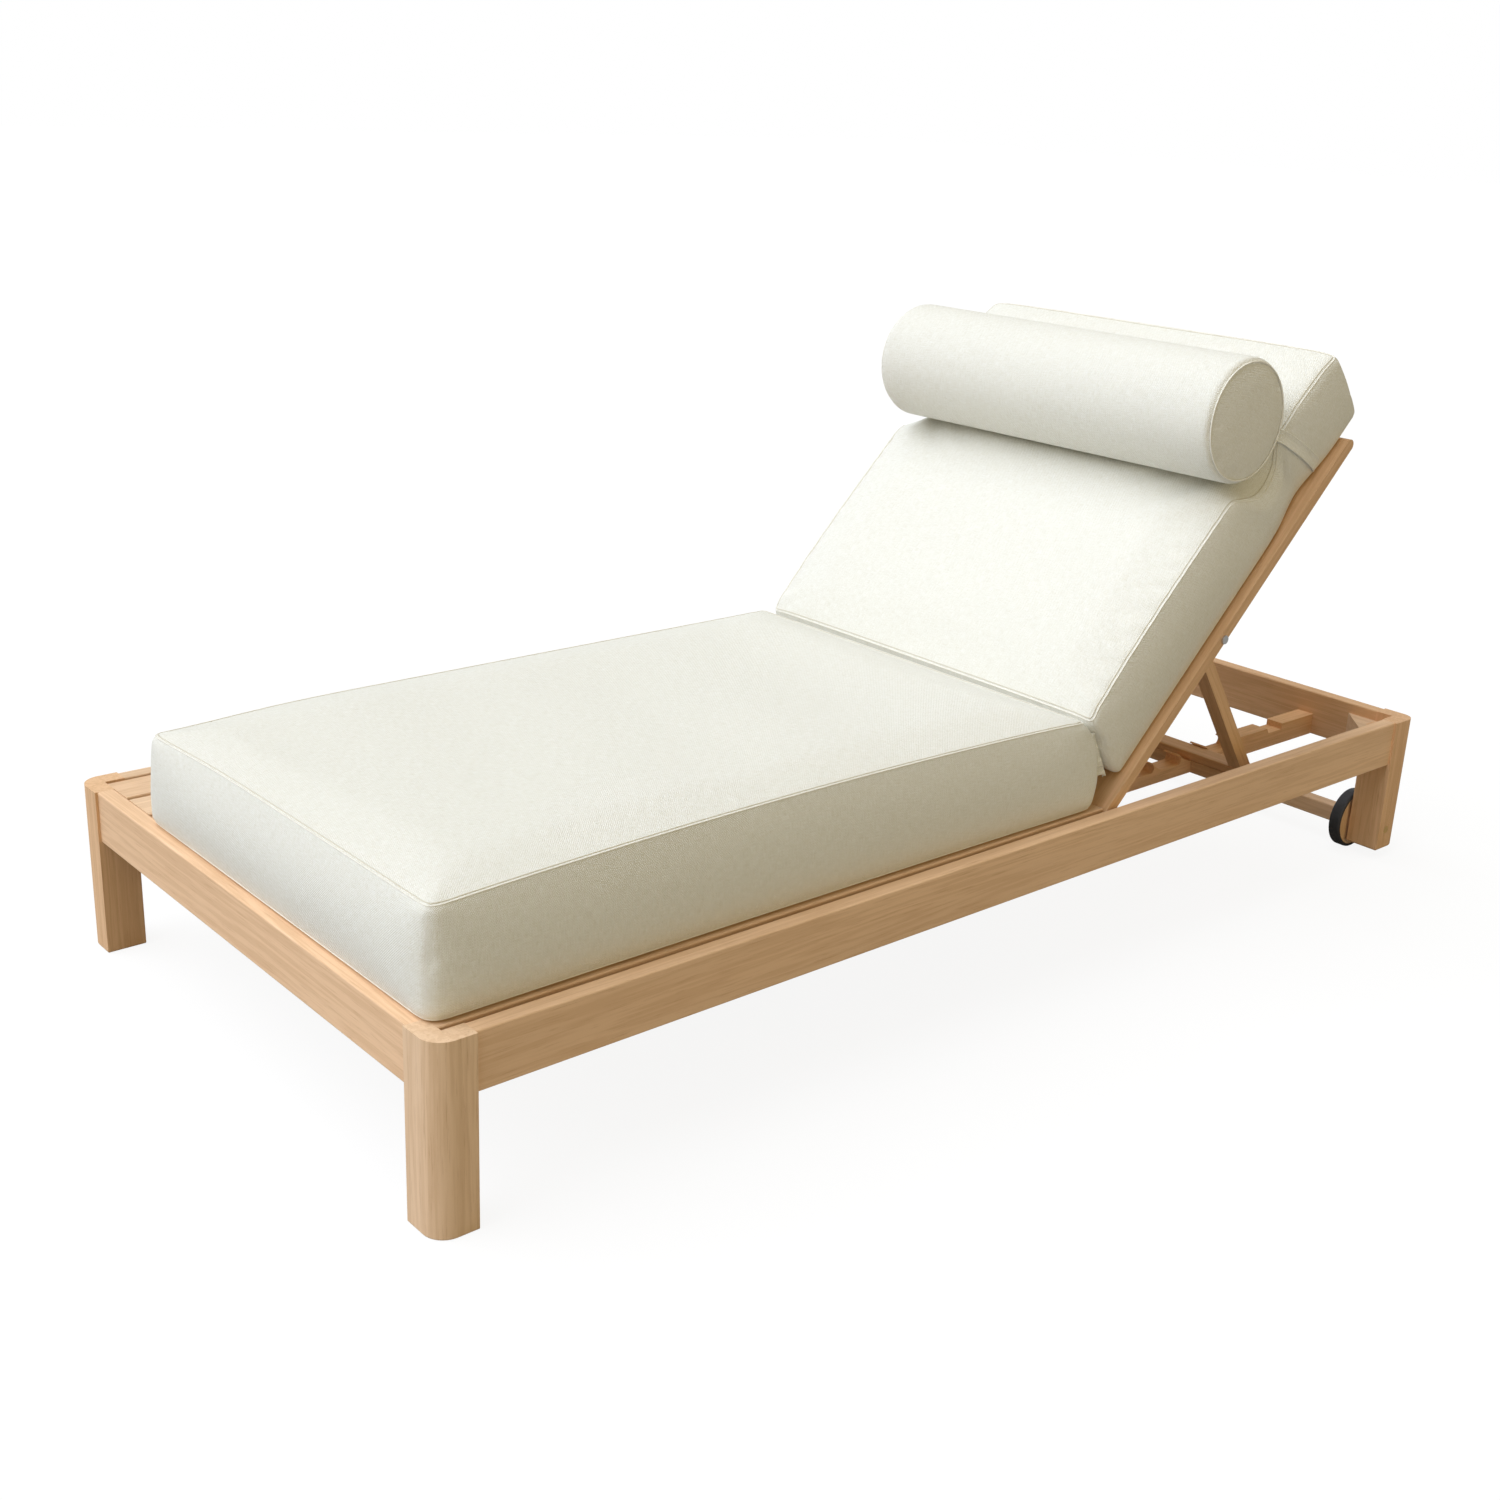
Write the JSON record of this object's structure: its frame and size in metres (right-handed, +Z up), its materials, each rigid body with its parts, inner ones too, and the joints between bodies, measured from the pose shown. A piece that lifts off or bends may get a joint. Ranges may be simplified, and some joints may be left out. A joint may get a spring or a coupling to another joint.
{
  "type": "sun lounger",
  "caption": "Wide wooden sun lounger with a ratchet backrest on a prop, wheels at the head, a seat mattress, a back cushion and a strapped bolster.",
  "frame": {"origin": "on the floor under the middle of the overall length and width", "axes": "+X towards the sitter's left, +Y from the foot to the head with the wheels, +Z up"},
  "size_m": [0.992, 2.015, 0.9121],
  "materials": {
    "wood": "fine-sanded, unvarnished",
    "fabric": "woven, matt",
    "rubber": "matt",
    "steel": "satin",
    "brass": "satin"
  },
  "bodies": {
    "frame": {"axle_beam": "wood", "axle_bolts": "brass", "corner_blocks": "wood", "corner_bolts": "steel", "deck_slat_01": "wood", "deck_slat_02": "wood", "deck_slat_03": "wood", "deck_slat_04": "wood", "deck_slat_05": "wood", "deck_slat_06": "wood", "deck_slat_07": "wood", "deck_slat_08": "wood", "deck_slat_09": "wood", "deck_slat_10": "wood", "deck_slat_11": "wood", "deck_slat_12": "wood", "foot_leg_left": "wood", "foot_leg_right": "wood", "foot_rail": "wood", "head_leg_left": "wood", "head_leg_right": "wood", "head_rail": "wood", "hinge_pins": "steel", "hinge_rail": "wood", "mid_rail": "wood", "rack_left": "wood", "rack_right": "wood", "seat_bearer_1": "wood", "seat_bearer_2": "wood", "seat_bearer_3": "wood", "shelf_bearers": "wood", "shelf_rail": "wood", "side_rail_left": "wood", "side_rail_right": "wood"},
    "backrest": {"back_battens": "wood", "back_bottom_rail": "wood", "back_cushion": "fabric", "back_slat_1": "wood", "back_slat_2": "wood", "back_slat_3": "wood", "back_slat_4": "wood", "back_slat_5": "wood", "back_slat_6": "wood", "back_slat_7": "wood", "back_slat_8": "wood", "back_stile_left": "wood", "back_stile_right": "wood", "back_top_rail": "wood", "bolster": "fabric", "bolster_strap": "fabric", "prop_bolts": "steel"},
    "prop": {"prop_foot_bar": "wood", "prop_leg_left": "wood", "prop_leg_right": "wood"},
    "mattress": {"seat_mattress": "fabric"},
    "wheel_left": {"wheel_hub_left": "wood", "wheel_tyre_left": "rubber"},
    "wheel_right": {"wheel_hub_right": "wood", "wheel_tyre_right": "rubber"}
  },
  "joints": [
    {"name": "backrest_tilt", "type": "hinge", "parent": "frame", "child": "backrest", "pos_m": [0.08815, 0.1915, 0.2486], "axis": [1, 0, 0], "range_deg": [0, 13]},
    {"name": "prop_swing", "type": "hinge", "parent": "backrest", "child": "prop", "pos_m": [0.08815, 0.43001, 0.48343], "axis": [1, 0, 0], "range_deg": [-16.5, 0]},
    {"name": "mattress_shift", "type": "slide", "parent": "frame", "child": "mattress", "axis": [0, -1, 0], "range_m": [0, 0.042]},
    {"name": "wheel_left_spin", "type": "hinge", "parent": "frame", "child": "wheel_left", "pos_m": [0.423, 0.9545, 0.053], "axis": [1, 0, 0], "continuous": true},
    {"name": "wheel_right_spin", "type": "hinge", "parent": "frame", "child": "wheel_right", "pos_m": [-0.423, 0.9545, 0.053], "axis": [1, 0, 0], "continuous": true}
  ],
  "couplings": [
    {"joint": "prop_swing", "follows": "backrest_tilt", "ratio": -1.25},
    {"joint": "mattress_shift", "follows": "backrest_tilt", "m_per_rad": 0.18}
  ]
}
